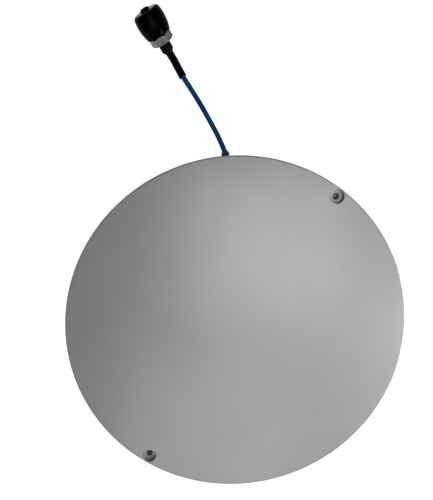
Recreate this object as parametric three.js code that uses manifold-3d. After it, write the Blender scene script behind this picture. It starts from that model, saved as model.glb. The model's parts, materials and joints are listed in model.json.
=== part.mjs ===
// Flat disc antenna with a short coax pigtail, a threaded jack and a push-on dust cap.
// Millimetres. The back face lies on z = 0, +Z points out of the front face and +Y towards the pigtail.
import * as THREE from "three";
import { mergeVertices } from "three/addons/utils/BufferGeometryUtils.js";
import Module from "manifold-3d";

const wasm = await Module();
wasm.setup();

// Driving dimensions
const discRadius = 140;
const discHeight = 12;
const edgeRound = 1.5;
const frontWall = 2.2;
const rimWall = 2.8;
const backThickness = 2;
const clearance = 0.3;
const discSides = 72;

// Ledge that the back cover's gasket closes on
const ledgeRadius = 134.4;
const ledgeHeight = 3;

// Two mounting screws on one diameter
const mountAngle = 55.7;
const mountRadius = 0.951 * discRadius;
const recessRadius = 5.6;
const recessDepth = 4.2;
const mountHoleRadius = 2.65;
const mountBossRadius = 7.3;
const mountPadRadius = 9.6;

// Screws that hold the back cover
const coverScrewCount = 8;
const coverScrewRadius = 126;
const coverScrewStart = 22.5;

const bossRadius = 3.6;
const shankRadius = 1.4;
const headRadius = 2.7;

// Antenna element
const boardRadius = 112;
const boardBottom = 8.2;
const boardThickness = 0.8;
const plateRadius = 96;
const plateBottom = 7.7;
const plateThickness = 0.3;
const plateGap = 4;
const stakeCount = 6;
const stakeCircle = 80;
const pillarRadius = 4;
const stakeRadius = 1.5;
const stakeHeadRadius = 2.6;
const spacerCount = 4;
const spacerCircle = 104;
const feedSpot = -6.6;

// Coax
const cableRadius = 2.05;
const cableBore = 2.35;
const cableHeight = 5.3;
const glandHeight = 6.2;
const glandPoint = [-13.4, 139.36];
const glandTurn = 16;
const glandBore = 3;
const glandInside = 8.2;
const glandOutside = 3.6;

// Jack, sleeve and cap
const jackPlace = [-60.75, 219.4, 7.6];
const jackTurn = 35;
const jackTilt = 27;
const hexFlats = 15.2;
const hexLength = 5.5;
const hexTurn = 16;
const barrelRadius = 7.9;
const barrelEnd = 16;
const ferruleRadius = 3.7;
const ferruleLength = 5.6;
const sleeveWall = 0.7;
const sleeveLength = 8.2;
const braidRadius = 1.75;
const socketRadius = 4.3;
const socketFloor = 7;
const contactRadius = 1.5;
const contactEnd = 14.5;
const capGap = 0.3;
const capLength = 17.6;
const capMouthRadius = 9.4;
const capEndRadius = 10.45;
const capBulge = 0.85;
const capWall = 0.9;
const capEndWall = 2.8;
const capEdgeRound = 3.1;
const nubRadius = 3.25;
const nubHeight = 2.3;

// Route of the free cable, from inside the gland to inside the ferrule
const cableRoute = [
  [-13.1, 138.4, 6.2],
  [-14.5, 142.9, 6.2],
  [-15.8, 146, 5.95],
  [-17.7, 150.2, 5.3],
  [-20.9, 156.7, 4.25],
  [-24.7, 163.3, 3.3],
  [-28.5, 169.9, 2.6],
  [-32.5, 176.5, 2.3],
  [-36.8, 183, 2.3],
  [-41.15, 189.35, 2.6],
  [-46.45, 196.8, 3.2],
  [-50.2, 203.05, 3.3],
  [-53.55, 208.95, 3.3],
  [-54.8, 210.75, 3.4],
  [-55.95, 212.5, 3.75],
  [-57.15, 214.3, 4.5],
  [-58.95, 216.85, 6.05],
  [-60.25, 218.7, 7.15],
];
const sleeveStart = 10;

// Route of the cable inside the housing, from the braid saddle to the gland
const innerRoute = [
  [0, 22, cableHeight],
  [0, 40, cableHeight],
  [-1.2, 60, cableHeight],
  [-3.2, 80, cableHeight],
  [-5.6, 100, cableHeight],
  [-8.1, 118, cableHeight],
  [-9.7, 126.4, glandHeight],
  [-11.1, 131.3, glandHeight],
  [-13, 137.9, glandHeight],
];

const rad = THREE.MathUtils.degToRad;

function finish(color, roughness, metalness) {
  return new THREE.MeshStandardMaterial({ color, roughness, metalness });
}

const finishes = {
  radome: finish("#b5b4b1", 0.5, 0),
  cover: finish("#adacaa", 0.6, 0),
  seal: finish("#2c2d2f", 0.85, 0),
  laminate: finish("#8a8f4c", 0.55, 0),
  sheet: finish("#c9a35c", 0.35, 1),
  jacket: finish("#083f76", 0.4, 0),
  shrink: finish("#0b0b0c", 0.55, 0),
  plated: finish("#8d8b85", 0.38, 1),
  ptfe: finish("#f1f0ea", 0.45, 0),
  gold: finish("#d8a93c", 0.25, 1),
  solder: finish("#b9bbbc", 0.4, 1),
  nylon: finish("#dcdad2", 0.5, 0),
  steel: finish("#a9acae", 0.35, 1),
  label: finish("#c9cbcc", 0.45, 0),
  cap: finish("#070708", 0.4, 0),
};

// A geometry as a closed solid with its faces pointing out.
function solid(geometry) {
  const bare = new THREE.BufferGeometry();
  bare.setAttribute("position", geometry.getAttribute("position"));
  bare.setIndex(geometry.index);
  const merged = mergeVertices(bare, 1e-4);
  const corners = merged.index.array;
  const faces = [];
  for (let i = 0; i < corners.length; i += 3) {
    const [a, b, c] = corners.slice(i, i + 3);
    if (a !== b && b !== c && c !== a) faces.push(a, b, c);
  }
  const vertProperties = new Float32Array(merged.getAttribute("position").array);
  const build = (triVerts) =>
    new wasm.Manifold(new wasm.Mesh({ numProp: 3, vertProperties, triVerts: new Uint32Array(triVerts) }));
  const made = build(faces);
  return made.volume() < 0 ? build(faces.reverse()) : made;
}

function geometryOf(body) {
  const mesh = body.getMesh();
  const geometry = new THREE.BufferGeometry();
  geometry.setAttribute("position", new THREE.BufferAttribute(new Float32Array(mesh.vertProperties), 3));
  geometry.setIndex(new THREE.BufferAttribute(new Uint32Array(mesh.triVerts), 1));
  geometry.computeVertexNormals();
  return geometry;
}

// A body turned about the Z axis from [radius, height] points.
function turned(profile, sides) {
  const points = profile.map(([r, z]) => new THREE.Vector2(r, z));
  return solid(new THREE.LatheGeometry(points, sides).rotateX(Math.PI / 2));
}

function post(radius, bottom, top, [x, y] = [0, 0], sides = 14) {
  const geometry = new THREE.CylinderGeometry(radius, radius, top - bottom, sides);
  return solid(geometry.rotateX(Math.PI / 2).translate(x, y, (bottom + top) / 2));
}

function block([width, depth, height], [x, y, z]) {
  return solid(new THREE.BoxGeometry(width, depth, height).translate(x, y, z));
}

// A ring from [radius, height] points that close on themselves.
function ring(profile, sides) {
  return turned([...profile, profile[0]], sides);
}

// A flat outline raised from one height to another.
function raised(shape, bottom, top, curveSegments = 36) {
  const depth = top - bottom;
  const geometry = new THREE.ExtrudeGeometry(shape, { depth, bevelEnabled: false, curveSegments });
  return solid(geometry.translate(0, 0, bottom));
}

function circleShape(radius, sides) {
  const shape = new THREE.Shape();
  for (let i = 0; i < sides; i += 1) {
    const turn = (2 * Math.PI * i) / sides;
    shape[i === 0 ? "moveTo" : "lineTo"](radius * Math.cos(turn), radius * Math.sin(turn));
  }
  shape.closePath();
  return shape;
}

// A round rod of the given radius along a curve.
function rod(curve, radius, steps, sides = 8) {
  const shape = circleShape(radius, sides);
  return solid(new THREE.ExtrudeGeometry(shape, { steps, bevelEnabled: false, extrudePath: curve }));
}

function through(points) {
  return new THREE.CatmullRomCurve3(points.map((p) => new THREE.Vector3(...p)), false, "centripetal");
}

// The stretch of a curve between two of its lengths, as shares of the whole.
function stretch(curve, from, to, count) {
  const points = [];
  for (let i = 0; i <= count; i += 1) points.push(curve.getPointAt(from + ((to - from) * i) / count));
  return new THREE.CatmullRomCurve3(points, false, "centripetal");
}

function onCircle(radius, degrees) {
  return [radius * Math.cos(rad(degrees)), radius * Math.sin(rad(degrees))];
}

function around(count, radius, start) {
  return Array.from({ length: count }, (_, i) => onCircle(radius, start + (360 * i) / count));
}

const antenna = new THREE.Group();
const jack = new THREE.Group();
const gland = new THREE.Group();

function place(group, name, body, material) {
  const mesh = new THREE.Mesh(geometryOf(body), material);
  mesh.name = name;
  group.add(mesh);
}

const mountPoints = [onCircle(mountRadius, mountAngle), onCircle(mountRadius, mountAngle + 180)];
const coverScrewPoints = around(coverScrewCount, coverScrewRadius, coverScrewStart);
const stakePoints = around(stakeCount, stakeCircle, 0);
const spacerPoints = around(spacerCount, spacerCircle, 45);
const innerTop = discHeight - frontWall;

// Brings a body made along +Z to the gland's axis.
function alongGland(body) {
  const turn = new THREE.Matrix4().makeRotationFromEuler(
    new THREE.Euler(-Math.PI / 2, 0, rad(glandTurn), "ZXY"),
  );
  turn.setPosition(...glandPoint, glandHeight);
  return body.transform(turn.toArray());
}

function frontCover() {
  const shell = [
    [0, innerTop],
    [ledgeRadius, innerTop],
    [ledgeRadius, ledgeHeight],
    [discRadius - rimWall, ledgeHeight],
    [discRadius - rimWall, 0],
    [discRadius - 0.4, 0],
    [discRadius, 0.4],
  ];
  const roundSteps = 3;
  for (let i = 0; i <= roundSteps; i += 1) {
    const turn = (Math.PI / 2) * (i / roundSteps);
    const inset = edgeRound * (1 - Math.cos(turn));
    const rise = edgeRound * Math.sin(turn);
    shell.push([discRadius - inset, discHeight - edgeRound + rise]);
  }
  shell.push([0, discHeight]);
  let body = turned(shell, discSides);
  const outline = post(discRadius - rimWall / 2, -1, discHeight + 1, [0, 0], discSides);
  for (const point of mountPoints) {
    const boss = post(mountBossRadius, 0, innerTop + 1, point, 20);
    const pad = post(mountPadRadius, ledgeHeight, innerTop + 1, point, 20);
    body = body.add(boss.add(pad).intersect(outline));
  }
  for (const point of coverScrewPoints) {
    body = body.add(post(bossRadius, backThickness + clearance, innerTop + 1, point));
    body = body.subtract(post(shankRadius + clearance, backThickness, innerTop - 0.4, point));
  }
  const pillarEnd = boardBottom + boardThickness + 0.2;
  for (const point of stakePoints) {
    body = body.add(post(pillarRadius, pillarEnd, innerTop + 1, point, 10));
    body = body.add(post(stakeRadius, plateBottom - 0.6, innerTop + 1, point, 10));
    body = body.add(post(stakeHeadRadius, plateBottom - 1.2, plateBottom - 0.4, point, 10));
  }
  for (const point of mountPoints) {
    body = body.subtract(post(recessRadius, discHeight - recessDepth, discHeight + 1, point, 32));
    body = body.subtract(post(mountHoleRadius, -1, discHeight, point, 20));
  }
  return body.subtract(alongGland(post(glandBore, -10, 4)));
}

function backCover() {
  const edge = discRadius - rimWall - clearance;
  const profile = [
    [0, 0],
    [edge - 0.4, 0],
    [edge, 0.4],
    [edge, backThickness],
    [0, backThickness],
  ];
  let body = turned(profile, discSides);
  for (const point of mountPoints) {
    body = body.subtract(post(mountBossRadius + clearance, -1, backThickness + 1, point, 20));
  }
  for (const [x, y] of coverScrewPoints) {
    body = body.subtract(post(shankRadius + clearance, -1, backThickness + 1, [x, y], 12));
    body = body.subtract(countersink().translate(x, y, 0));
  }
  return body.subtract(block([70, 42, 0.8], [0, 0, 0]));
}

// The cone that a cover screw's head sinks into.
function countersink() {
  return turned([[0, -1], [3.1, -1], [3.1, 0.2], [shankRadius, backThickness], [0, backThickness]], 12);
}

function coverScrew() {
  const profile = [
    [0, 0.2],
    [headRadius, 0.2],
    [headRadius, 0.5],
    [shankRadius, 1.8],
    [shankRadius, innerTop - 1.2],
    [0.8, innerTop - 0.7],
    [0, innerTop - 0.7],
  ];
  return turned(profile, 12).subtract(block([3.2, 0.8, 1], [0, 0, 0.3]));
}

function rimGasket() {
  const bottom = backThickness + 0.2;
  const top = ledgeHeight - 0.2;
  const outer = discRadius - rimWall - 0.4;
  const inner = ledgeRadius + 0.4;
  let body = ring([[inner, bottom], [outer, bottom], [outer, top], [inner, top]], discSides);
  const outline = post(outer, bottom, top, [0, 0], discSides);
  for (const point of mountPoints) {
    const loop = post(mountPadRadius - 0.3, bottom, top, point, 20);
    body = body.add(loop.intersect(outline));
    body = body.subtract(post(mountBossRadius + 0.4, 0, discHeight, point, 20));
  }
  return body;
}

function carrierBoard() {
  let body = post(boardRadius, boardBottom, boardBottom + boardThickness, [0, 0], discSides);
  for (const point of stakePoints) {
    body = body.subtract(post(stakeRadius + clearance, 0, discHeight, point, 10));
  }
  return body;
}

// Half-moon plate on one side of the feed gap: side is 1 above it and -1 below it.
function elementPlate(side) {
  const shape = new THREE.Shape();
  const start = Math.asin(plateGap / 2 / plateRadius);
  shape.moveTo(7, 0.5 * plateGap);
  shape.lineTo(plateRadius * Math.cos(start), 0.5 * plateGap);
  shape.absarc(0, 0, plateRadius, start, Math.PI - start, false);
  shape.lineTo(-7, 0.5 * plateGap);
  shape.lineTo(-3, 0.25 * plateGap);
  shape.lineTo(3, 0.25 * plateGap);
  shape.closePath();
  let body = raised(shape, plateBottom, plateBottom + plateThickness);
  if (side < 0) body = body.mirror([0, 1, 0]);
  for (const point of stakePoints) {
    body = body.subtract(post(stakeRadius + clearance, 0, discHeight, point, 10));
  }
  return body;
}

function boardSpacer() {
  const top = boardBottom - clearance;
  return turned([[0, 2.3], [5, 2.3], [5.5, 2.8], [5.5, top - 0.5], [5, top], [0, top]], 14);
}

// Brass bridge soldered over the cable's bared braid.
function braidSaddle() {
  const top = plateBottom - 0.1;
  const bridge = new THREE.CylinderGeometry(2.6, 2.6, 9, 16).translate(0, 15.5, 0);
  let body = solid(bridge.translate(0, 0, cableHeight));
  body = body.add(block([5.2, 9, top - cableHeight], [0, 15.5, (top + cableHeight) / 2]));
  body = body.add(block([10, 9, 0.5], [0, 15.5, top - 0.25]));
  body = body.intersect(block([20, 20, top], [0, 15.5, top / 2]));
  const boreRadius = braidRadius + clearance;
  const bore = new THREE.CylinderGeometry(boreRadius, boreRadius, 20, 16).translate(0, 15.5, cableHeight);
  return body.subtract(solid(bore));
}

// Nylon saddle that holds the cable down, stuck to the ground plate.
function cableClip() {
  const top = plateBottom - 0.1;
  let body = block([9, 6, 2], [0, 0, top - 1]);
  const hoop = new THREE.CylinderGeometry(cableBore + 0.6, cableBore + 0.6, 6, 16);
  body = body.add(solid(hoop.translate(0, 0, cableHeight)));
  body = body.intersect(block([20, 20, top], [0, 0, top / 2]));
  const bore = new THREE.CylinderGeometry(cableBore, cableBore, 12, 16).translate(0, 0, cableHeight);
  return body.subtract(solid(bore));
}

// The cable's bared braid and core, ahead of its jacket.
function feedDielectric() {
  const core = new THREE.CylinderGeometry(braidRadius, braidRadius, 16.6, 12);
  const bore = rod(through([[0, 0, cableHeight], [0, 13, cableHeight]]), 0.6, 2, 8);
  return solid(core.translate(0, 13.4, cableHeight)).subtract(bore);
}

function feedConductor() {
  const route = [[0, 12, cableHeight], [0, 4, cableHeight], [0, -1, 6.2], [0, -5, 7], [0, -7.4, 7.1]];
  return rod(through(route), 0.45, 12, 8);
}

function feedSolder() {
  const drop = new THREE.SphereGeometry(2.4, 12, 8).scale(1, 1.1, 0.75);
  const bead = solid(drop.translate(0, feedSpot, plateBottom - 0.2));
  const below = post(4, 0, plateBottom - 0.05, [0, feedSpot]);
  return bead.intersect(below).subtract(rod(through([[0, -1, 6.2], [0, -5, 7], [0, -8, 7.13]]), 0.6, 8, 8));
}

function cableGland() {
  const profile = [
    [cableRadius + 0.2, -glandInside],
    [3.3, -glandInside],
    [3.3, 1.2 - glandInside],
    [glandBore - 0.25, 1.2 - glandInside],
    [glandBore - 0.25, 0.9],
    [3.4, 0.9],
    [3.4, 1.5],
    [2.6, glandOutside],
    [cableRadius + 0.2, glandOutside],
  ];
  return ring(profile, 16);
}

function shrinkSleeve(route) {
  const inner = cableRadius + clearance;
  const outer = inner + sleeveWall;
  const wide = ferruleRadius + clearance + sleeveWall;
  const narrow = rod(stretch(route, sleeveFrom(route), 0.955, 10), outer, 12, 12);
  const back = [
    [0, -sleeveLength],
    [outer, -sleeveLength],
    [wide, -ferruleLength - clearance],
    [wide, -clearance],
    [0, -clearance],
  ];
  const cavity = [
    [0, 0.8 - sleeveLength],
    [inner, 0.8 - sleeveLength],
    [inner + 0.1, -ferruleLength - clearance],
    [ferruleRadius + clearance, -ferruleLength - clearance],
    [ferruleRadius + clearance, 1],
    [0, 1],
  ];
  const bore = rod(stretch(route, sleeveFrom(route) - 0.03, 1, 12), inner, 14, 10);
  return narrow.add(ontoJack(turned(back, 16))).subtract(bore).subtract(ontoJack(turned(cavity, 16)));
}

// Where the sleeve begins, as a share of the cable's length.
function sleeveFrom(route) {
  const start = new THREE.Vector3(...cableRoute[sleeveStart]);
  const spots = Array.from({ length: 401 }, (_, i) => i / 400);
  return spots.reduce((best, u) =>
    route.getPointAt(u).distanceTo(start) < route.getPointAt(best).distanceTo(start) ? u : best,
  );
}

// Brings a body made along +Z to the jack's axis.
function ontoJack(body) {
  const turn = new THREE.Matrix4().makeRotationFromEuler(
    new THREE.Euler(-rad(90 - jackTilt), 0, rad(jackTurn), "ZXY"),
  );
  turn.setPosition(...jackPlace);
  return body.transform(turn.toArray());
}

function jackFerrule() {
  const profile = [
    [cableBore, -ferruleLength],
    [ferruleRadius - 0.3, -ferruleLength],
    [ferruleRadius, 0.4 - ferruleLength],
    [ferruleRadius, -0.1],
    [cableBore, -0.1],
  ];
  return ring(profile, 16);
}

function jackBody() {
  const hexCorner = hexFlats / 2 / Math.cos(Math.PI / 6);
  const prism = solid(
    new THREE.CylinderGeometry(hexCorner, hexCorner, hexLength, 6)
      .rotateX(Math.PI / 2)
      .rotateZ(rad(hexTurn))
      .translate(0, 0, hexLength / 2),
  );
  const bevel = turned(
    [
      [0, -1],
      [hexFlats / 2 - 1.9, -1],
      [hexCorner, 0.65],
      [hexCorner, hexLength - 0.65],
      [hexFlats / 2, hexLength],
      [0, hexLength + 1],
    ],
    30,
  );
  const profile = [
    [0, 1],
    [6.2, 1],
    [6.2, hexLength + 1.1],
    [barrelRadius - 0.7, hexLength + 1.1],
    [barrelRadius, hexLength + 1.8],
    [barrelRadius, barrelEnd - 0.8],
    [barrelRadius - 0.8, barrelEnd],
    [0, barrelEnd],
  ];
  const barrel = turned(profile, 32);
  const socket = post(socketRadius, socketFloor, barrelEnd + 1, [0, 0], 24);
  return prism.intersect(bevel).add(barrel).subtract(socket).subtract(post(cableBore, -1, 8));
}

function jackInsulator() {
  const outer = socketRadius - 0.2;
  const bottom = socketFloor + 0.2;
  return ring([[1.8, bottom], [outer, bottom], [outer, 9.4], [2.6, 10], [1.8, 10]], 16);
}

function jackContact() {
  const profile = [
    [0, 1.2],
    [0.9, 1.2],
    [0.9, 4],
    [contactRadius, 4],
    [contactRadius, contactEnd - 0.3],
    [contactRadius - 0.3, contactEnd],
    [0.8, contactEnd],
    [0.8, 11],
    [0, 11],
  ];
  return turned(profile, 10);
}

function dustCap() {
  const mouth = hexLength + capGap;
  const top = mouth + capLength;
  const profile = [
    [0, top - capEndWall],
    [7.2, top - capEndWall],
    [8.2, top - capEndWall - 1],
    [barrelRadius + clearance, mouth + 0.4],
    [capMouthRadius - capWall + 0.4, mouth],
    [capMouthRadius - 0.3, mouth],
    [capMouthRadius, mouth + 0.3],
  ];
  const sideEnd = top - 0.1 - capEdgeRound;
  const sideSteps = 4;
  for (let i = 1; i < sideSteps; i += 1) {
    const share = i / sideSteps;
    const taper = (capEndRadius - capMouthRadius) * share + capBulge * 4 * share * (1 - share);
    profile.push([capMouthRadius + taper, mouth + 0.3 + (sideEnd - mouth - 0.3) * share]);
  }
  const roundSteps = 4;
  for (let i = 0; i <= roundSteps; i += 1) {
    const turn = (Math.PI / 2) * (i / roundSteps);
    const inset = capEdgeRound * (1 - Math.cos(turn));
    const rise = capEdgeRound * Math.sin(turn);
    profile.push([capEndRadius - inset, sideEnd + rise]);
  }
  profile.push([nubRadius + 0.6, top], [nubRadius, top + 0.4], [nubRadius - 0.3, top + nubHeight - 0.8]);
  profile.push([nubRadius - 1.1, top + nubHeight], [0, top + nubHeight]);
  return turned(profile, 28);
}

place(antenna, "front_cover", frontCover(), finishes.radome);
place(antenna, "back_cover", backCover(), finishes.cover);
place(antenna, "rim_gasket", rimGasket(), finishes.seal);
place(antenna, "rear_label", block([69, 41, 0.15], [0, 0, 0.25]), finishes.label);
coverScrewPoints.forEach(([x, y], i) => {
  place(antenna, `cover_screw_${i + 1}`, coverScrew().translate(x, y, 0), finishes.steel);
});

place(antenna, "carrier_board", carrierBoard(), finishes.laminate);
place(antenna, "ground_plate", elementPlate(1), finishes.sheet);
place(antenna, "radiator_plate", elementPlate(-1), finishes.sheet);
spacerPoints.forEach(([x, y], i) => {
  place(antenna, `board_spacer_${i + 1}`, boardSpacer().translate(x, y, 0), finishes.seal);
});

place(antenna, "feed_cable", rod(through(innerRoute), cableRadius, 22, 8), finishes.jacket);
place(antenna, "braid_saddle", braidSaddle(), finishes.sheet);
place(antenna, "feed_dielectric", feedDielectric(), finishes.ptfe);
place(antenna, "feed_conductor", feedConductor(), finishes.gold);
place(antenna, "feed_solder", feedSolder(), finishes.solder);
place(antenna, "cable_clip_1", cableClip().translate(0, 34, 0), finishes.nylon);
place(antenna, "cable_clip_2", cableClip().rotate([0, 0, 6.5]).translate(-3.7, 84, 0), finishes.nylon);

gland.position.set(...glandPoint, glandHeight);
gland.rotation.set(-Math.PI / 2, 0, rad(glandTurn), "ZXY");
place(gland, "cable_gland", cableGland(), finishes.seal);

const route = through(cableRoute);
place(antenna, "pigtail_cable", rod(route, cableRadius, 34, 8), finishes.jacket);
place(antenna, "shrink_sleeve", shrinkSleeve(route), finishes.shrink);

jack.position.set(...jackPlace);
jack.rotation.set(-rad(90 - jackTilt), 0, rad(jackTurn), "ZXY");
place(jack, "connector_ferrule", jackFerrule(), finishes.plated);
place(jack, "connector_body", jackBody(), finishes.plated);
place(jack, "connector_insulator", jackInsulator(), finishes.ptfe);
place(jack, "connector_contact", jackContact(), finishes.gold);
place(jack, "dust_cap", dustCap(), finishes.cap);

antenna.add(gland, jack);
export default antenna;
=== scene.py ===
# Flat disc antenna with a short coax pigtail, a threaded jack and a push-on dust cap.
# Metres, in the CAD model's own frame: back face on z = 0, +Z out of the front face,
# +Y towards the pigtail.
import json
import math

import bpy
from mathutils import Matrix, Vector


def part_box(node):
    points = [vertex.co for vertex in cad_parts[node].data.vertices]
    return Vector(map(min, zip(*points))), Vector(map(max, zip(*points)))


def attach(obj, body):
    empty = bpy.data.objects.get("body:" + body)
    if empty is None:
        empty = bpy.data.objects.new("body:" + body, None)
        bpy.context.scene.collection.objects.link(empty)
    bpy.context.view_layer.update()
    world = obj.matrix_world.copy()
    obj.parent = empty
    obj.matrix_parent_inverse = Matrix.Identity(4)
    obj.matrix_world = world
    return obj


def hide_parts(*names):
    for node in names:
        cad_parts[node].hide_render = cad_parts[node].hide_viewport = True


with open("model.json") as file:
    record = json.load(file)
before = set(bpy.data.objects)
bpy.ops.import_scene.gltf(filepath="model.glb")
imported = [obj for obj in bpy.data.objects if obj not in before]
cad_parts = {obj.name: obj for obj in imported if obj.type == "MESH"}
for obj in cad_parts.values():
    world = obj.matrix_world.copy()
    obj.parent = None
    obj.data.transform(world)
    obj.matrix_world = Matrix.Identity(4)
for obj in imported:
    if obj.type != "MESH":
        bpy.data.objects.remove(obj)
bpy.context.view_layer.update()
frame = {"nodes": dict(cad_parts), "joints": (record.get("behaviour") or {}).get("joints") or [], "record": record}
mm = 0.001
print("frame loaded:", len(frame["nodes"]), "CAD nodes")

cameraView = {
    "place": (-0.03689, 0.11441, 0.36433),
    "turn": (-10.066, -4.283, 1.007),
    "lens": 32.4,
    "shift": (-0.0262, 0.036),
}


def addCamera(view):
    data = bpy.data.cameras.new("camera")
    data.sensor_width = 36
    data.lens = view["lens"]
    data.shift_x, data.shift_y = view["shift"]
    data.clip_start, data.clip_end = 0.01, 20
    camera = bpy.data.objects.new("camera", data)
    camera.location = view["place"]
    camera.rotation_euler = [math.radians(angle) for angle in view["turn"]]
    bpy.context.scene.collection.objects.link(camera)
    bpy.context.scene.camera = camera


addCamera(cameraView)
print("camera set")


# How pieces are shaped

def pickOnly(piece):
    bpy.ops.object.select_all(action="DESELECT")
    piece.select_set(True)
    bpy.context.view_layer.objects.active = piece


def finishWith(piece, kind, **settings):
    pickOnly(piece)
    modifier = piece.modifiers.new(kind.lower(), kind)
    for key, value in settings.items():
        setattr(modifier, key, value)
    bpy.ops.object.modifier_apply(modifier=modifier.name)
    return piece


def joinShapes(piece, other, operation):
    finishWith(piece, "BOOLEAN", operation=operation, object=other, solver="EXACT")
    bpy.data.objects.remove(other)
    return piece


def roundEdges(piece, width, segments=3, above=30):
    return finishWith(piece, "BEVEL", width=width, segments=segments, limit_method="ANGLE",
                      angle_limit=math.radians(above), use_clamp_overlap=True)


def smoothFaces(piece, below=32):
    pickOnly(piece)
    bpy.ops.object.shade_smooth_by_angle(angle=math.radians(below))
    return finishWith(piece, "WEIGHTED_NORMAL", mode="FACE_AREA", keep_sharp=True)


# Brings a piece made along its own +Z to its place, with its object left at the origin.
def settle(piece, place):
    pickOnly(piece)
    piece.matrix_world = place
    bpy.ops.object.transform_apply(location=True, rotation=True, scale=True)
    return piece


def arc(centre, radius, start, end, steps):
    turns = [math.radians(start + (end - start) * i / steps) for i in range(steps + 1)]
    return [(centre[0] + radius * math.cos(a), centre[1] + radius * math.sin(a)) for a in turns]


# A plane melted to one corner, drawn out along (radius, height) points and spun about +Z.
def turnPiece(name, outline, steps=96, closed=False):
    points = [point for point, last in zip(outline, [None, *outline]) if point != last]
    if closed:
        points.append(points[0])
    bpy.ops.object.select_all(action="DESELECT")
    bpy.ops.mesh.primitive_plane_add(size=1 * mm)
    piece = bpy.context.object
    piece.name = name
    piece.data.name = name
    bpy.ops.object.mode_set(mode="EDIT")
    bpy.ops.mesh.select_mode(type="VERT")
    bpy.ops.mesh.select_all(action="SELECT")
    bpy.ops.mesh.merge(type="CENTER")
    bpy.ops.transform.translate(value=(points[0][0], 0, points[0][1]))
    for (radius, height), (nextRadius, nextHeight) in zip(points, points[1:]):
        step = (nextRadius - radius, 0, nextHeight - height)
        bpy.ops.mesh.extrude_region_move(TRANSFORM_OT_translate={"value": step})
    bpy.ops.mesh.select_all(action="SELECT")
    bpy.ops.mesh.spin(steps=steps, angle=2 * math.pi, center=(0, 0, 0), axis=(0, 0, 1))
    bpy.ops.mesh.select_all(action="SELECT")
    bpy.ops.mesh.remove_doubles(threshold=0.002 * mm)
    bpy.ops.mesh.normals_make_consistent(inside=False)
    bpy.ops.object.mode_set(mode="OBJECT")
    return piece


# Melts a fan of slivers on a flat face into one face, so that what is cut from it cuts cleanly.
def mergeFlats(piece):
    pickOnly(piece)
    bpy.ops.object.mode_set(mode="EDIT")
    bpy.ops.mesh.select_all(action="SELECT")
    bpy.ops.mesh.dissolve_limited(angle_limit=math.radians(0.02))
    bpy.ops.object.mode_set(mode="OBJECT")
    return piece


# A block whose upright corners are rounded.
def blockPiece(name, size, centre, cornerRound=0, segments=6):
    bpy.ops.object.select_all(action="DESELECT")
    bpy.ops.mesh.primitive_cube_add(size=1, location=centre, scale=size)
    piece = bpy.context.object
    piece.name = name
    piece.data.name = name
    bpy.ops.object.transform_apply(location=True, rotation=True, scale=True)
    if cornerRound:
        bpy.ops.object.mode_set(mode="EDIT")
        bpy.ops.mesh.select_mode(type="EDGE")
        bpy.ops.mesh.select_all(action="DESELECT")
        bpy.ops.object.mode_set(mode="OBJECT")
        for edge in piece.data.edges:
            one, two = (piece.data.vertices[i].co for i in edge.vertices)
            edge.select = abs(one.z - two.z) > 0.9 * size[2]
        bpy.ops.object.mode_set(mode="EDIT")
        bpy.ops.mesh.bevel(offset=cornerRound, segments=segments)
        bpy.ops.object.mode_set(mode="OBJECT")
    return piece


# A smooth line through the points, with the given number of steps between each two of them.
def smoothLine(points, steps):
    padded = [2 * points[0] - points[1], *points, 2 * points[-1] - points[-2]]
    line = []
    for p0, p1, p2, p3 in zip(padded, padded[1:], padded[2:], padded[3:]):
        t1 = math.sqrt((p1 - p0).length)
        t2 = t1 + math.sqrt((p2 - p1).length)
        t3 = t2 + math.sqrt((p3 - p2).length)
        for i in range(steps):
            t = t1 + (t2 - t1) * i / steps
            a1 = p0.lerp(p1, t / t1)
            a2 = p1.lerp(p2, (t - t1) / (t2 - t1))
            a3 = p2.lerp(p3, (t - t2) / (t3 - t2))
            b1 = a1.lerp(a2, t / t2)
            b2 = a2.lerp(a3, (t - t1) / (t3 - t1))
            line.append(b1.lerp(b2, (t - t1) / (t2 - t1)))
    return line + [points[-1]]


# A round tube along a line, with a radius at each point of it.
def tubeAlong(name, line, radii, sides=12):
    data = bpy.data.curves.new(name, "CURVE")
    data.dimensions = "3D"
    data.bevel_depth = 1
    data.bevel_resolution = sides // 4 - 1
    data.use_fill_caps = True
    spline = data.splines.new("POLY")
    spline.points.add(len(line) - 1)
    for point, place, radius in zip(spline.points, line, radii):
        point.co = (*place, 1)
        point.radius = radius
    tube = bpy.data.objects.new(name, data)
    bpy.context.scene.collection.objects.link(tube)
    return tube


# Finishes: each is a node material that reads Object coordinates

def addNode(tree, kind, inputs=None, **settings):
    node = tree.nodes.new(kind)
    for key, value in settings.items():
        setattr(node, key, value)
    for socket, value in (inputs or {}).items():
        target = node.inputs[socket]
        if isinstance(value, bpy.types.NodeSocket):
            tree.links.new(value, target)
        else:
            target.default_value = value
    return node


def mapRange(tree, value, low, high, newLow=0, newHigh=1):
    return addNode(tree, "ShaderNodeMapRange", {
        "Value": value,
        "From Min": low,
        "From Max": high,
        "To Min": newLow,
        "To Max": newHigh,
    }).outputs["Result"]


def mixColors(tree, share, one, two):
    mix = addNode(tree, "ShaderNodeMix", data_type="RGBA")
    for socket, value in (("Factor_Float", share), ("A_Color", one), ("B_Color", two)):
        target = next(s for s in mix.inputs if s.identifier == socket)
        if isinstance(value, bpy.types.NodeSocket):
            tree.links.new(value, target)
        else:
            target.default_value = (*value, 1) if socket != "Factor_Float" else value
    return next(s for s in mix.outputs if s.identifier == "Result_Color")


def calculate(tree, operation, *values):
    return addNode(tree, "ShaderNodeMath", dict(enumerate(values)), operation=operation).outputs[0]


def noise(tree, place, scale, detail=3, roughness=0.5):
    return addNode(tree, "ShaderNodeTexNoise", {
        "Vector": place,
        "Scale": scale,
        "Detail": detail,
        "Roughness": roughness,
    }).outputs["Fac"]


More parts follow.
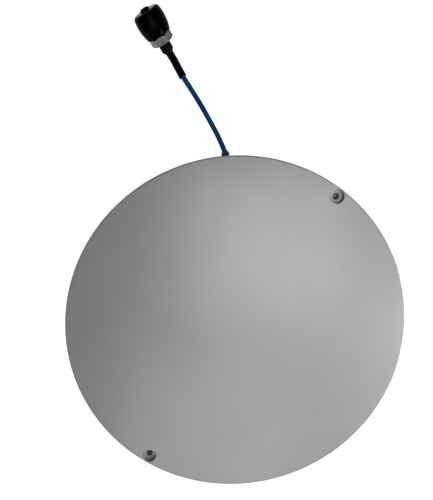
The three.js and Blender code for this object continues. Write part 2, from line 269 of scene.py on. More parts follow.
# Distance of a point from the +Z axis of the coordinates.
def axleDistance(tree, place):
    flat = addNode(tree, "ShaderNodeVectorMath", {0: place, 1: (1, 1, 0)}, operation="MULTIPLY")
    return addNode(tree, "ShaderNodeVectorMath", {0: flat.outputs[0]}, operation="LENGTH").outputs["Value"]


grainHeight = 0.05 * mm


# A tone that wanders between dark and light, an uneven gloss and a fine grain. A look may add the
# frame it is turned in, a stretch, a weave, rings, specks, and wear where the radius from +Z
# passes a place.
def makeFinish(name, look):
    material = bpy.data.materials.new(name)
    material.use_nodes = True
    tree = material.node_tree
    shader = tree.nodes["Principled BSDF"]
    shader.inputs["Metallic"].default_value = look.get("metal", 0)
    shader.inputs["Specular IOR Level"].default_value = look.get("shine", 0.5)
    place = addNode(tree, "ShaderNodeTexCoord").outputs["Object"]
    if "turnedIn" in look:
        back = look["turnedIn"].inverted()
        place = addNode(tree, "ShaderNodeMapping", {
            "Vector": place,
            "Location": back.to_translation(),
            "Rotation": back.to_euler(),
        }).outputs["Vector"]
    stretched = addNode(tree, "ShaderNodeMapping", {
        "Vector": place,
        "Scale": look.get("stretch", (1, 1, 1)),
    }).outputs["Vector"]
    patches = mapRange(tree, noise(tree, stretched, look["patchScale"], 4, 0.55), 0.33, 0.67)
    color = mixColors(tree, patches, look["dark"], look["light"])
    gloss = mapRange(tree, noise(tree, stretched, 2.7 * look["patchScale"]), 0.3, 0.7, *look["gloss"])
    grain = noise(tree, stretched, look["grainScale"], 2)
    if "weave" in look:
        threads = [
            addNode(tree, "ShaderNodeTexWave", {
                "Vector": place,
                "Scale": look["weave"],
                "Distortion": 0.6,
                "Detail": 1,
            }, wave_type="BANDS", bands_direction=direction).outputs["Fac"]
            for direction in ("X", "Y")
        ]
        cloth = calculate(tree, "MULTIPLY", *threads)
        grain = calculate(tree, "ADD", grain, cloth)
        color = mixColors(tree, calculate(tree, "MULTIPLY", cloth, 0.35), color, look["thread"])
    if "rings" in look:
        bands = addNode(tree, "ShaderNodeTexWave", {
            "Vector": place,
            "Scale": look["rings"],
            "Distortion": 1.5,
            "Detail": 3,
        }, wave_type="BANDS", bands_direction="Z").outputs["Fac"]
        grain = calculate(tree, "ADD", grain, calculate(tree, "MULTIPLY", bands, 0.6))
    if "specks" in look:
        specks = look["specks"]
        cells = addNode(tree, "ShaderNodeTexVoronoi", {"Vector": place, "Scale": specks["scale"]})
        near = mapRange(tree, cells.outputs["Distance"], specks["size"], specks["size"] * 0.6)
        lot = addNode(tree, "ShaderNodeSeparateColor", {"Color": cells.outputs["Color"]}).outputs[0]
        chosen = calculate(tree, "GREATER_THAN", lot, 1 - specks["share"])
        color = mixColors(tree, calculate(tree, "MULTIPLY", near, chosen), color, specks["tone"])
    if "wear" in look:
        wear = look["wear"]
        edge = mapRange(tree, axleDistance(tree, place), wear["from"], wear["to"])
        scuffs = mapRange(tree, noise(tree, place, wear["scale"], 5, 0.7), 0.45, 0.62)
        worn = calculate(tree, "MULTIPLY", calculate(tree, "MULTIPLY", edge, scuffs), wear["share"])
        color = mixColors(tree, worn, color, wear["tone"])
        gloss = calculate(tree, "ADD", gloss, calculate(tree, "MULTIPLY", worn, wear["dulling"]))
    bump = addNode(tree, "ShaderNodeBump", {
        "Height": grain,
        "Strength": look["grainDepth"],
        "Distance": grainHeight,
    })
    tree.links.new(color, shader.inputs["Base Color"])
    tree.links.new(gloss, shader.inputs["Roughness"])
    tree.links.new(bump.outputs["Normal"], shader.inputs["Normal"])
    return material


def wearFinish(piece, finish):
    piece.data.materials.clear()
    piece.data.materials.append(finish)
    return piece


# The free cable: its route, from inside the gland to inside the ferrule
pigtail = {
    "diameter": 4.1 * mm,
    "sleeveFrom": 10,
    "route": [
        (-13.1, 138.4, 6.2),
        (-14.5, 142.9, 6.2),
        (-15.8, 146, 5.95),
        (-17.7, 150.2, 5.3),
        (-20.9, 156.7, 4.25),
        (-24.7, 163.3, 3.3),
        (-28.5, 169.9, 2.6),
        (-32.5, 176.5, 2.3),
        (-36.8, 183, 2.3),
        (-41.15, 189.35, 2.6),
        (-46.45, 196.8, 3.2),
        (-50.2, 203.05, 3.3),
        (-53.55, 208.95, 3.3),
        (-54.8, 210.75, 3.4),
        (-55.95, 212.5, 3.75),
        (-57.15, 214.3, 4.5),
        (-58.95, 216.85, 6.05),
        (-60.25, 218.7, 7.15),
    ],
}
cablePoints = [Vector(point) * mm for point in pigtail["route"]]
cableLine = smoothLine(cablePoints, 8)

# Where the jack and the gland stand, from their CAD nodes
pullJoint = frame["joints"][0]
jackAxis = Vector(pullJoint["axis"]).normalized()


def middleOf(node):
    corners = [vertex.co for vertex in frame["nodes"][node].data.vertices]
    return sum(corners, Vector()) / len(corners)


def lowestAlong(node, axis):
    return min(vertex.co.dot(axis) for vertex in frame["nodes"][node].data.vertices)


# The frame whose +Z is the axis, tipped up from the ground without a twist.
def frameOn(point, axis):
    turn = math.atan2(-axis.x, axis.y)
    tilt = math.asin(axis.z)
    rotation = Matrix.Rotation(turn, 4, "Z") @ Matrix.Rotation(tilt - math.pi / 2, 4, "X")
    return Matrix.Translation(point) @ rotation


ferruleMiddle = middleOf("connector_ferrule")
hexBack = lowestAlong("connector_body", jackAxis) - ferruleMiddle.dot(jackAxis)
jackFrame = frameOn(ferruleMiddle + jackAxis * hexBack, jackAxis)

discLow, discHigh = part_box("front_cover")
discRadius = discHigh.x
discHeight = discHigh.z
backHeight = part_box("back_cover")[1].z
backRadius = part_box("back_cover")[1].x
seats = [Vector(mount["pos_m"]) for mount in frame["record"]["mounts"] if "screw_seat" in mount["name"]]
screwBoxes = [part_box(f"cover_screw_{i}") for i in range(1, 9)]
screwPlaces = [(low + high) / 2 for low, high in screwBoxes]

# Finishes of every piece
looks = {
    "radome": {
        "dark": (0.250, 0.249, 0.243),
        "light": (0.264, 0.263, 0.258),
        "patchScale": 14,
        "grainScale": 2600,
        "grainDepth": 0.35,
        "gloss": (0.28, 0.33),
        "shine": 0.75,
        "specks": {"scale": 62, "size": 0.035, "share": 0.025, "tone": (0.2, 0.19, 0.18)},
        "wear": {
            "from": discRadius - 2.2 * mm,
            "to": discRadius - 0.2 * mm,
            "scale": 120,
            "share": 0.3,
            "tone": (0.42, 0.415, 0.405),
            "dulling": 0.15,
        },
    },
    "cover": {
        "dark": (0.265, 0.263, 0.256),
        "light": (0.29, 0.288, 0.28),
        "patchScale": 11,
        "grainScale": 1500,
        "grainDepth": 0.6,
        "gloss": (0.5, 0.62),
        "specks": {"scale": 45, "size": 0.04, "share": 0.05, "tone": (0.18, 0.17, 0.16)},
        "wear": {
            "from": discRadius - 12 * mm,
            "to": discRadius - 3 * mm,
            "scale": 90,
            "share": 0.35,
            "tone": (0.36, 0.355, 0.345),
            "dulling": 0.12,
        },
    },
    "seal": {
        "dark": (0.018, 0.018, 0.019),
        "light": (0.03, 0.03, 0.032),
        "patchScale": 90,
        "grainScale": 2200,
        "grainDepth": 0.6,
        "gloss": (0.6, 0.78),
        "shine": 0.35,
    },
    "laminate": {
        "dark": (0.22, 0.25, 0.075),
        "light": (0.27, 0.3, 0.1),
        "patchScale": 20,
        "grainScale": 1800,
        "grainDepth": 0.35,
        "gloss": (0.4, 0.52),
        "weave": 520,
        "thread": (0.42, 0.44, 0.2),
    },
    "sheet": {
        "dark": (0.44, 0.27, 0.09),
        "light": (0.6, 0.4, 0.15),
        "patchScale": 26,
        "stretch": (1, 12, 1),
        "grainScale": 700,
        "grainDepth": 0.2,
        "gloss": (0.26, 0.42),
        "metal": 1,
    },
    "jacket": {
        "dark": (0.0002, 0.034, 0.13),
        "light": (0.0004, 0.05, 0.18),
        "patchScale": 60,
        "grainScale": 1400,
        "grainDepth": 0.25,
        "gloss": (0.3, 0.42),
        "shine": 0.12,
    },
    "shrink": {
        "dark": (0.0006, 0.0006, 0.0007),
        "light": (0.0018, 0.0018, 0.0021),
        "patchScale": 220,
        "grainScale": 2600,
        "grainDepth": 0.5,
        "gloss": (0.45, 0.62),
        "shine": 0.05,
    },
    "plated": {
        "dark": (0.062, 0.059, 0.054),
        "light": (0.1, 0.096, 0.089),
        "patchScale": 160,
        "grainScale": 3200,
        "grainDepth": 0.3,
        "gloss": (0.3, 0.42),
        "metal": 1,
        "turnedIn": jackFrame,
        "rings": 900,
        "wear": {
            "from": 7.6 * mm,
            "to": 8.5 * mm,
            "scale": 700,
            "share": 0.4,
            "tone": (0.18, 0.174, 0.163),
            "dulling": -0.08,
        },
    },
    "ptfe": {
        "dark": (0.7, 0.69, 0.65),
        "light": (0.82, 0.81, 0.78),
        "patchScale": 300,
        "grainScale": 2500,
        "grainDepth": 0.25,
        "gloss": (0.4, 0.52),
    },
    "gold": {
        "dark": (0.62, 0.4, 0.1),
        "light": (0.8, 0.55, 0.18),
        "patchScale": 500,
        "grainScale": 4000,
        "grainDepth": 0.2,
        "gloss": (0.16, 0.3),
        "metal": 1,
    },
    "solder": {
        "dark": (0.42, 0.43, 0.44),
        "light": (0.6, 0.61, 0.62),
        "patchScale": 500,
        "grainScale": 2400,
        "grainDepth": 0.6,
        "gloss": (0.28, 0.46),
        "metal": 1,
    },
    "nylon": {
        "dark": (0.6, 0.58, 0.52),
        "light": (0.72, 0.7, 0.64),
        "patchScale": 160,
        "grainScale": 1800,
        "grainDepth": 0.4,
        "gloss": (0.4, 0.56),
    },
    "screw_steel": {
        "dark": (0.4, 0.41, 0.42),
        "light": (0.54, 0.55, 0.56),
        "patchScale": 400,
        "grainScale": 3000,
        "grainDepth": 0.3,
        "gloss": (0.24, 0.4),
        "metal": 1,
    },
    "label": {
        "dark": (0.5, 0.505, 0.51),
        "light": (0.58, 0.585, 0.59),
        "patchScale": 40,
        "stretch": (1, 30, 1),
        "grainScale": 900,
        "grainDepth": 0.12,
        "gloss": (0.3, 0.4),
        "metal": 0.35,
    },
    "cap_rubber": {
        "dark": (0.0004, 0.0004, 0.0005),
        "light": (0.0013, 0.0014, 0.0017),
        "patchScale": 130,
        "grainScale": 2400,
        "grainDepth": 0.2,
        "gloss": (0.13, 0.2),
        "shine": 0.012,
        "turnedIn": jackFrame,
    },
}
finishes = {name: makeFinish(name, look) for name, look in looks.items()}
print("finishes made:", len(finishes))


# A finished piece: its material, picked by the finish's name, the body it rides on and the CAD nodes that it
# stands for.
def keepPiece(piece, slotName, replaced, body="antenna", below=32):
    if piece.type == "MESH" and below:
        smoothFaces(piece, below)
    wearFinish(piece, finishes[slotName])
    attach(piece, body)
    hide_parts(*replaced)
    print("made", piece.name)
    return piece


pigtailCable = tubeAlong("pigtailCable", cableLine, [pigtail["diameter"] / 2] * len(cableLine), 24)
keepPiece(pigtailCable, "jacket", ["pigtail_cable"])

frontCoverShape = {
    "wall": 2.2 * mm,
    "rimWall": 2.8 * mm,
    "ledgeRadius": 134.4 * mm,
    "ledgeHeight": 3 * mm,
    "rimRound": 1.5 * mm,
    "mountShare": 0.951,
    "recessRadius": 5.6 * mm,
    "recessRound": 0.35 * mm,
    "holeRadius": 2.65 * mm,
    "bossRadius": 7.3 * mm,
    "padRadius": 9.6 * mm,
    "screwBoss": 3.6 * mm,
    "screwBore": 1.7 * mm,
    "pillarRadius": 4 * mm,
    "pillarCircle": 80 * mm,
    "pillars": 6,
    "steps": 256,
}


def flatPoint(radius, turn):
    return Vector((radius * math.cos(turn), radius * math.sin(turn), 0))


def mountCentres():
    radius = frontCoverShape["mountShare"] * discRadius
    return [Vector((seat.x, seat.y, 0)).normalized() * radius for seat in seats]


def post(radius, bottom, top, place, steps=48):
    piece = turnPiece("post", [(0, bottom), (radius, bottom), (radius, top), (0, top)], steps)
    return settle(piece, Matrix.Translation((place.x, place.y, 0)))


def makeFrontCover(shape):
    inner = discHeight - shape["wall"]
    rimInner = discRadius - shape["rimWall"]
    rim = arc((discRadius - shape["rimRound"], discHeight - shape["rimRound"]), shape["rimRound"], 0, 90, 8)
    outline = [
        (0, inner),
        (shape["ledgeRadius"], inner),
        (shape["ledgeRadius"], shape["ledgeHeight"]),
        (rimInner, shape["ledgeHeight"]),
        (rimInner, 0),
        (discRadius - 0.4 * mm, 0),
        (discRadius, 0.4 * mm),
        *rim,
        (discRadius - shape["rimRound"] - 0.5 * mm, discHeight),
        (0, discHeight),
    ]
    cover = mergeFlats(turnPiece("frontCover", outline, shape["steps"]))
    seatHeight = seats[0].z
    holdIn = inner + 0.5 * mm
    within = turnPiece("within", [
        (0, -1 * mm),
        (discRadius - 1.4 * mm, -1 * mm),
        (discRadius - 1.4 * mm, discHeight - 1 * mm),
        (0, discHeight - 1 * mm),
    ], shape["steps"])
    for centre in mountCentres():
        boss = post(shape["bossRadius"], 0, holdIn, centre)
        joinShapes(boss, post(shape["padRadius"], shape["ledgeHeight"], holdIn, centre), "UNION")
        finishWith(boss, "BOOLEAN", operation="INTERSECT", object=within, solver="EXACT")
        joinShapes(cover, boss, "UNION")
    bpy.data.objects.remove(within)
    for place in screwPlaces:
        joinShapes(cover, post(shape["screwBoss"], backHeight + 0.3 * mm, holdIn, place), "UNION")
        joinShapes(cover, post(shape["screwBore"], 0, inner - 0.4 * mm, place, 32), "DIFFERENCE")
    for i in range(shape["pillars"]):
        place = flatPoint(shape["pillarCircle"], 2 * math.pi * i / shape["pillars"])
        stake = turnPiece("stake", [
            (0, 6.5 * mm),
            (1.9 * mm, 6.5 * mm),
            (2.6 * mm, 6.9 * mm),
            (2.6 * mm, 7.3 * mm),
            (1.5 * mm, 7.3 * mm),
            (1.5 * mm, 9.2 * mm),
            (shape["pillarRadius"], 9.2 * mm),
            (shape["pillarRadius"], holdIn),
            (0, holdIn),
        ], 32)
        joinShapes(cover, settle(stake, Matrix.Translation(place)), "UNION")
    flare = shape["recessRadius"] + shape["recessRound"]
    mouth = arc((flare, discHeight - shape["recessRound"]), shape["recessRound"], 180, 90, 5)
    for centre in mountCentres():
        cutter = turnPiece("recess", [
            (0, -1 * mm),
            (shape["holeRadius"] + 0.3 * mm, -1 * mm),
            (shape["holeRadius"] + 0.3 * mm, 0),
            (shape["holeRadius"], 0.3 * mm),
            (shape["holeRadius"], seatHeight - 0.25 * mm),
            (shape["holeRadius"] + 0.25 * mm, seatHeight),
            (shape["recessRadius"] - 0.3 * mm, seatHeight),
            (shape["recessRadius"], seatHeight + 0.3 * mm),
            *mouth,
            (flare, discHeight + 1 * mm),
            (0, discHeight + 1 * mm),
        ], 64)
        joinShapes(cover, settle(cutter, Matrix.Translation(centre)), "DIFFERENCE")
    bore = glandShape["bore"]
    throat = turnPiece("throat", [(0, -10 * mm), (bore, -10 * mm), (bore, 4 * mm), (0, 4 * mm)], 48)
    joinShapes(cover, settle(throat, glandFrame), "DIFFERENCE")
    return cover


glandShape = {
    "turn": 16,
    "bore": 3 * mm,
    "inside": 8.2 * mm,
    "steps": 64,
}
glandTurn = math.radians(glandShape["turn"])
glandAxis = Vector((-math.sin(glandTurn), math.cos(glandTurn), 0))
glandMiddle = middleOf("cable_gland")
glandBack = lowestAlong("cable_gland", glandAxis) + glandShape["inside"] - glandMiddle.dot(glandAxis)
glandFrame = frameOn(glandMiddle + glandAxis * glandBack, glandAxis)

keepPiece(makeFrontCover(frontCoverShape), "radome", ["front_cover"])

# The rest of the enclosure

def makeBackCover(shape):
    edge = shape["edgeRound"]
    outline = [
        (0, 0),
        (backRadius - edge, 0),
        *arc((backRadius - edge, edge), edge, -90, 0, 5),
        (backRadius, backHeight - 0.2 * mm),
        (backRadius - 0.2 * mm, backHeight),
        (0, backHeight),
    ]
    cover = mergeFlats(turnPiece("backCover", outline, 256))
    for centre in mountCentres():
        rounding = 0.25 * mm
        hole = turnPiece("bossHole", [
            (0, -1 * mm),
            (shape["bossHole"] + rounding, -1 * mm),
            *arc((shape["bossHole"] + rounding, rounding), rounding, 270, 180, 4),
            (shape["bossHole"], backHeight + 1 * mm),
            (0, backHeight + 1 * mm),
        ], 64)
        joinShapes(cover, settle(hole, Matrix.Translation(centre)), "DIFFERENCE")
    for place in screwPlaces:
        sink = turnPiece("sink", [
            (0, -1 * mm),
            (shape["sinkRadius"], -1 * mm),
            (shape["sinkRadius"], 0.2 * mm),
            (shape["shankHole"], 1.6 * mm),
            (shape["shankHole"], backHeight + 1 * mm),
            (0, backHeight + 1 * mm),
        ], 32)
        joinShapes(cover, settle(sink, Matrix.Translation((place.x, place.y, 0))), "DIFFERENCE")
    pocket = blockPiece("pocket", shape["pocket"], (0, 0, 0), shape["pocketRound"])
    return joinShapes(cover, pocket, "DIFFERENCE")


backCoverShape = {
    "edgeRound": 0.4 * mm,
    "bossHole": 7.6 * mm,
    "sinkRadius": 3.1 * mm,
    "shankHole": 1.7 * mm,
    "pocket": (70 * mm, 42 * mm, 0.8 * mm),
    "pocketRound": 2.5 * mm,
}
keepPiece(makeBackCover(backCoverShape), "cover", ["back_cover"])

rearLabelShape = {
    "size": (69 * mm, 41 * mm, 0.15 * mm),
    "height": 0.25 * mm,
    "cornerRound": 2 * mm,
}
rearLabel = blockPiece("rearLabel", rearLabelShape["size"], (0, 0, rearLabelShape["height"]),
                       rearLabelShape["cornerRound"])
keepPiece(rearLabel, "label", ["rear_label"])

coverScrewShape = {
    "headRadius": 2.7 * mm,
    "shankRadius": 1.4 * mm,
    "end": 9.1 * mm,
    "bottom": 0.2 * mm,
    "crossLength": 2.9 * mm,
    "crossWidth": 0.55 * mm,
    "crossDepth": 0.8 * mm,
}


def makeScrew(shape):
    head, shank, bottom, end = (shape[key] for key in ("headRadius", "shankRadius", "bottom", "end"))
    ridges = []
    height = 3.4 * mm
    while height < end - 1.6 * mm:
        ridges += [(shank - 0.22 * mm, height), (shank, height + 0.22 * mm), (shank, height + 0.3 * mm)]
        height += 0.55 * mm
    screw = turnPiece("coverScrew", [
        (0, bottom),
        (head - 0.12 * mm, bottom),
        (head, bottom + 0.1 * mm),
        (head, bottom + 0.25 * mm),
        (shank + 0.1 * mm, 1.7 * mm),
        (shank, 1.9 * mm),
        (shank, 3.2 * mm),
        *ridges,
        (shank - 0.2 * mm, height),
        (shank - 0.6 * mm, end),
        (0, end),
    ], 32)
    for turn in (0, 90):
        arm = blockPiece("arm", (shape["crossLength"], shape["crossWidth"], 2 * shape["crossDepth"]),
                         (0, 0, bottom))
        joinShapes(screw, settle(arm, Matrix.Rotation(math.radians(turn), 4, "Z")), "DIFFERENCE")
    return screw


# One screw, copied to each place with a turn of its own
screwModel = makeScrew(coverScrewShape)
for i, place in enumerate(screwPlaces, 1):
    screw = bpy.data.objects.new(f"coverScrew{i}", screwModel.data.copy())
    screw.data.name = screw.name
    bpy.context.scene.collection.objects.link(screw)
    turn = Matrix.Rotation(math.radians(37 * i % 90), 4, "Z")
    settle(screw, Matrix.Translation((place.x, place.y, 0)) @ turn)
    keepPiece(screw, "screw_steel", [f"cover_screw_{i}"])
bpy.data.objects.remove(screwModel)

# Gland, sleeve, jack and cap

def makeGland():
    nose = [
        (2.75 * mm, 0.75 * mm),
        (3.25 * mm, 0.75 * mm),
        (3.4 * mm, 0.95 * mm),
        (3.4 * mm, 1.35 * mm),
        (3.22 * mm, 1.6 * mm),
        (2.98 * mm, 1.75 * mm),
        (3.06 * mm, 1.95 * mm),
        (2.98 * mm, 2.3 * mm),
        (2.78 * mm, 2.45 * mm),
        (2.82 * mm, 2.65 * mm),
        (2.72 * mm, 3 * mm),
        (2.56 * mm, 3.35 * mm),
        (2.38 * mm, 3.6 * mm),
        (2.25 * mm, 3.5 * mm),
    ]
    inside = [
        (2.25 * mm, -8.2 * mm),
        (3.1 * mm, -8.2 * mm),
        (3.3 * mm, -8 * mm),
        (3.3 * mm, -7.2 * mm),
        (3.1 * mm, -7 * mm),
        (2.75 * mm, -7 * mm),
    ]
    return settle(turnPiece("cableGland", inside + nose, glandShape["steps"], True), glandFrame)


keepPiece(makeGland(), "seal", ["cable_gland"], below=50)

sleeveShape = {
    "narrow": 2.95 * mm,
    "wide": 4.6 * mm,
    "wall": 0.55 * mm,
    "taper": (-8.6, -5.7),
    "end": -0.35,
    "sides": 48,
}


def jackPoint(along):
    return jackFrame @ Vector((0, 0, along * mm))


def makeSleeve(shape):
    start = 8 * pigtail["sleeveFrom"]
    low, high = shape["taper"]
    line = [p for p in cableLine[start:] if (p - jackPoint(0)).dot(jackAxis) < (low - 0.6) * mm]
    radii = []
    for i, _ in enumerate(line):
        flare = 0.12 * mm * max(0, 1 - i / 3)
        wrinkle = 0.03 * mm * math.sin(2.3 * i) + 0.02 * mm * math.sin(5.1 * i + 1)
        radii.append(shape["narrow"] + flare + wrinkle)
    steps = 24
    for i in range(steps + 1):
        along = low + (shape["end"] - low) * i / steps
        share = min(1, max(0, (along - low) / (high - low)))
        swell = share * share * (3 - 2 * share)
        wave = 0.03 * mm * math.sin(3.1 * along)
        line.append(jackPoint(along))
        radii.append(shape["narrow"] + (shape["wide"] - shape["narrow"]) * swell + wave)
    radii[-1] -= 0.2 * mm
    tube = tubeAlong("shrinkSleeve", line, radii, shape["sides"])
    tube.data.use_fill_caps = False
    pickOnly(tube)
    bpy.ops.object.convert(target="MESH")
    sleeve = bpy.context.object
    bpy.ops.object.mode_set(mode="EDIT")
    bpy.ops.mesh.select_all(action="SELECT")
    bpy.ops.mesh.remove_doubles(threshold=0.002 * mm)
    bpy.ops.mesh.normals_make_consistent(inside=False)
    bpy.ops.object.mode_set(mode="OBJECT")
    return finishWith(sleeve, "SOLIDIFY", thickness=shape["wall"], offset=-1, use_rim=True)


keepPiece(makeSleeve(sleeveShape), "shrink", ["shrink_sleeve"], below=60)

jackShape = {
    "hexFlats": 15.2 * mm,
    "hexLength": 5.5 * mm,
    "hexTurn": 16,
    "chamfer": 0.7 * mm,
    "bore": 2.35 * mm,
    "neck": 6.2 * mm,
    "crest": 7.9 * mm,
    "threadDepth": 0.52 * mm,
    "pitch": 1.058 * mm,
    "threadStart": 7.3 * mm,
    "threadEnd": 15.2 * mm,
    "end": 16 * mm,
    "socket": 4.3 * mm,
    "socketFloor": 7 * mm,
}


def threadDip(shape, turn, height):
    into = min(height - shape["threadStart"], shape["threadEnd"] - height)
    if into <= 0:
        return 0
    phase = (height / shape["pitch"] - turn / (2 * math.pi)) % 1
    tooth = min(1, max(0, abs(2 * phase - 1) * 1.35 - 0.15))
    return shape["threadDepth"] * (1 - tooth) * min(1, into / (0.5 * mm))


def makeJackBody(shape):
    rings = 72
    span = shape["threadEnd"] - shape["threadStart"]
    side = [(shape["crest"], shape["threadStart"] + span * i / rings) for i in range(rings + 1)]
    barrel = turnPiece("barrel", [
        (shape["bore"], 1 * mm),
        (shape["neck"], 1 * mm),
        (shape["neck"], 6.4 * mm),
        (shape["neck"] + 0.2 * mm, 6.6 * mm),
        (shape["crest"] - 0.7 * mm, 6.6 * mm),
        *side,
        (shape["crest"] - 0.8 * mm, shape["end"]),
        (shape["socket"] + 0.3 * mm, shape["end"]),
        (shape["socket"], shape["end"] - 0.3 * mm),
        (shape["socket"], shape["socketFloor"]),
        (shape["bore"], shape["socketFloor"]),
    ], 96, True)
    for corner in barrel.data.vertices:
        radius = math.hypot(corner.co.x, corner.co.y)
        if radius > shape["crest"] - 0.01 * mm:
            dip = threadDip(shape, math.atan2(corner.co.y, corner.co.x), corner.co.z)
            corner.co.x *= 1 - dip / radius
            corner.co.y *= 1 - dip / radius
    cornerRadius = shape["hexFlats"] / 2 / math.cos(math.pi / 6)
    length = shape["hexLength"]
    bpy.ops.object.select_all(action="DESELECT")
    bpy.ops.mesh.primitive_cylinder_add(vertices=6, radius=cornerRadius, depth=length,
                                        location=(0, 0, length / 2))
    body = bpy.context.object
    body.name = "jackBody"
    body.data.name = "jackBody"
    bpy.ops.object.transform_apply(location=True, rotation=True, scale=True)
    settle(body, Matrix.Rotation(math.radians(shape["hexTurn"]), 4, "Z"))
    chamfer = turnPiece("chamfer", [
        (0, -1 * mm),
        (shape["hexFlats"] / 2 - 1.2 * mm, -1 * mm),
        (cornerRadius - 0.12 * mm, shape["chamfer"]),
        (cornerRadius - 0.12 * mm, length - shape["chamfer"]),
        (shape["hexFlats"] / 2 - 0.1 * mm, length),
        (0, length + 1 * mm),
    ], 96)
    joinShapes(body, chamfer, "INTERSECT")
    joinShapes(body, post(shape["bore"], -1 * mm, length + 1 * mm, Vector(), 48), "DIFFERENCE")
    roundEdges(body, 0.12 * mm, 2, 35)
    joinShapes(body, barrel, "UNION")
    return settle(body, jackFrame)


keepPiece(makeJackBody(jackShape), "plated", ["connector_body"], below=28)

insulatorShape = {
    "bore": 1.8 * mm,
    "radius": 4.1 * mm,
    "nose": 2.6 * mm,
    "bottom": 7.2 * mm,
    "shoulder": 9.4 * mm,
    "top": 10 * mm,
}


def makeInsulator(shape):
    piece = turnPiece("jackInsulator", [
        (shape["bore"], shape["bottom"]),
        (shape["radius"], shape["bottom"]),
        (shape["radius"], shape["shoulder"]),
        (shape["nose"], shape["top"]),
        (shape["bore"], shape["top"]),
    ], 64, True)
    roundEdges(piece, 0.15 * mm, 2, 30)
    return settle(piece, jackFrame)


keepPiece(makeInsulator(insulatorShape), "ptfe", ["connector_insulator"])

contactShape = {
    "tail": 0.9 * mm,
    "radius": 1.5 * mm,
    "bore": 0.8 * mm,
    "start": 1.2 * mm,
    "step": 4 * mm,
    "boreEnd": 11 * mm,
    "end": 14.5 * mm,
    "slotWidth": 0.3 * mm,
    "slotLength": 3 * mm,
}


def makeContact(shape):
    rounding = 0.35 * mm
    contact = turnPiece("jackContact", [
        (0, shape["start"]),
        (shape["tail"], shape["start"]),
        (shape["tail"], shape["step"]),
        (shape["radius"], shape["step"]),
        *arc((shape["radius"] - rounding, shape["end"] - rounding), rounding, 0, 90, 6),
        (shape["bore"] + 0.1 * mm, shape["end"]),
        (shape["bore"], shape["end"] - 0.1 * mm),
        (shape["bore"], shape["boreEnd"]),
        (0, shape["boreEnd"]),
    ], 48)
    for turn in (0, 90):
        middle = shape["end"] - shape["slotLength"] / 2 + 0.5 * mm
        size = (4 * mm, shape["slotWidth"], shape["slotLength"] + 1 * mm)
        slot = blockPiece("slot", size, (0, 0, middle))
        joinShapes(contact, settle(slot, Matrix.Rotation(math.radians(turn), 4, "Z")), "DIFFERENCE")
    return settle(contact, jackFrame)


keepPiece(makeContact(contactShape), "gold", ["connector_contact"])

dustCapShape = {
    "mouth": 5.8 * mm,
    "top": 23.4 * mm,
    "mouthRadius": 9.38 * mm,
    "middleRadius": 10.8 * mm,
    "endRadius": 10.42 * mm,
    "endRound": 3.05 * mm,
    "endWall": 2.8 * mm,
    "bore": 8.2 * mm,
    "nubRadius": 3.5 * mm,
    "nubHeight": 1.9 * mm,
    "nubRound": 1.5 * mm,
    "nubFoot": 0.8 * mm,
    "steps": 192,
}


def makeDustCap(shape):
    mouth, top, end = shape["mouth"], shape["top"], shape["endRadius"]
    sideStart = mouth + 0.4 * mm
    sideEnd = top - shape["endRound"]
    side = []
    sideSteps = 20
    for i in range(sideSteps):
        t = i / sideSteps
        radius = shape["mouthRadius"] * (1 - t) * (1 - 2 * t)
        radius += shape["middleRadius"] * 4 * t * (1 - t) + end * t * (2 * t - 1)
        side.append((radius, sideStart + (sideEnd - sideStart) * t))
    nub = shape["nubRadius"]
    nubTop = top + shape["nubHeight"]
    foot = shape["nubFoot"]
    cap = turnPiece("dustCap", [
        (0, top - shape["endWall"]),
        (7.2 * mm, top - shape["endWall"]),
        *arc((7.2 * mm, top - shape["endWall"] - 1 * mm), 1 * mm, 90, 0, 5)[1:],
        (shape["bore"], sideStart),
        (shape["bore"] + 0.4 * mm, mouth + 0.1 * mm),
        (shape["bore"] + 0.55 * mm, mouth),
        (shape["mouthRadius"] - 0.3 * mm, mouth),
        *arc((shape["mouthRadius"] - 0.3 * mm, mouth + 0.3 * mm), 0.3 * mm, -70, -20, 2),
        *side,
        *arc((end - shape["endRound"], sideEnd), shape["endRound"], 0, 90, 12),
        *arc((nub + foot, top + foot), foot, 270, 180, 4),
        *arc((nub - shape["nubRound"], nubTop - shape["nubRound"]), shape["nubRound"], 0, 80, 7),
        (0, nubTop),
    ], shape["steps"])
    return settle(cap, jackFrame)


keepPiece(makeDustCap(dustCapShape), "cap_rubber", ["dust_cap"], body="dust_cap", below=50)

# Inside the housing: the feed cable, and CAD nodes that keep their shape

feedCableShape = {
    "radius": 2.05 * mm,
    "route": [
        (0, 22, 5.3),
        (0, 40, 5.3),
        (-1.2, 60, 5.3),
        (-3.2, 80, 5.3),
        (-5.6, 100, 5.3),
        (-8.1, 118, 5.3),
        (-9.7, 126.4, 6.2),
        (-11.1, 131.3, 6.2),
        (-13, 137.9, 6.2),
    ],
}
feedLine = smoothLine([Vector(point) * mm for point in feedCableShape["route"]], 6)
feedCable = tubeAlong("feedCable", feedLine, [feedCableShape["radius"]] * len(feedLine), 16)
keepPiece(feedCable, "jacket", ["feed_cable"])

carriedOver = {
    "rim_gasket": "seal",
    "carrier_board": "laminate",
    "ground_plate": "sheet",
    "radiator_plate": "sheet",
    "braid_saddle": "sheet",
    "feed_dielectric": "ptfe",
    "feed_conductor": "gold",
    "feed_solder": "solder",
    "cable_clip_1": "nylon",
    "cable_clip_2": "nylon",
    "connector_ferrule": "plated",
}
carriedOver.update({f"board_spacer_{i}": "seal" for i in range(1, 5)})
for node, slotName in carriedOver.items():
    wearFinish(frame["nodes"][node], finishes[slotName])
print("finishes put on", len(carriedOver), "CAD nodes")


# Floor, surroundings and lights
studio = {
    "floorSize": 6,
    "floorDrop": 0.05 * mm,
    "floorGlow": 1,
    "glowFrom": discRadius - 1 * mm,
    "glowTo": discRadius + 0.5 * mm,
    "ambient": 0.08,
}


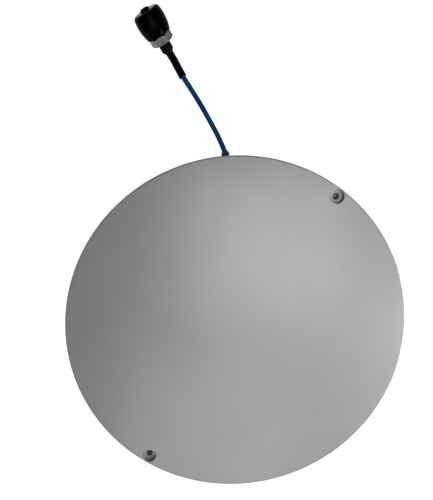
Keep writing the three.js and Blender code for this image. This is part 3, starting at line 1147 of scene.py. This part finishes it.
# The floor glows round the disc and not under it, so that the mounting holes look down into the dark.
def addFloor(settings):
    bpy.ops.object.select_all(action="DESELECT")
    bpy.ops.mesh.primitive_plane_add(size=settings["floorSize"], location=(0, 0, -settings["floorDrop"]))
    floor = bpy.context.object
    floor.name = "floor"
    material = bpy.data.materials.new("floorPaper")
    material.use_nodes = True
    tree = material.node_tree
    shader = tree.nodes["Principled BSDF"]
    shader.inputs["Base Color"].default_value = (0.5, 0.5, 0.5, 1)
    shader.inputs["Roughness"].default_value = 0.9
    shader.inputs["Specular IOR Level"].default_value = 0.1
    shader.inputs["Emission Color"].default_value = (1, 1, 1, 1)
    place = addNode(tree, "ShaderNodeTexCoord").outputs["Object"]
    glow = mapRange(tree, axleDistance(tree, place), settings["glowFrom"], settings["glowTo"],
                    0, settings["floorGlow"])
    tree.links.new(glow, shader.inputs["Emission Strength"])
    floor.data.materials.append(material)


def addSurroundings(settings):
    world = bpy.data.worlds.new("studio")
    bpy.context.scene.world = world
    world.use_nodes = True
    tree = world.node_tree
    backdrop = tree.nodes["Background"]
    backdrop.inputs["Color"].default_value = (1, 1, 1, 1)
    seen = addNode(tree, "ShaderNodeLightPath").outputs["Is Camera Ray"]
    strength = mapRange(tree, seen, 0, 1, settings["ambient"], 1)
    tree.links.new(strength, backdrop.inputs["Strength"])


def addSoftLight(name, place, target, size, power):
    data = bpy.data.lights.new(name, "AREA")
    data.shape = "RECTANGLE"
    data.size, data.size_y = size
    data.energy = power
    light = bpy.data.objects.new(name, data)
    light.location = place
    light.rotation_euler = (Vector(place) - Vector(target)).to_track_quat("Z", "Y").to_euler()
    bpy.context.scene.collection.objects.link(light)


addFloor(studio)
addSurroundings(studio)
lights = {
    "sideLight": {
        "place": (0.359, -0.045, 0.153),
        "target": (0.02, 0, 0),
        "size": (0.18, 0.18),
        "power": 1.54,
    },
    "frontLight": {
        "place": (0.009, -0.491, 0.653),
        "target": (0.02, 0, 0),
        "size": (0.45, 0.45),
        "power": 1.49,
    },
    "topLight": {
        "place": (0.097, 0.005, 0.499),
        "target": (0.02, 0, 0),
        "size": (0.3, 0.3),
        "power": 1.17,
    },
}
for name, light in lights.items():
    addSoftLight(name, **light)
bpy.context.scene.view_settings.view_transform = "Standard"
print("studio ready")
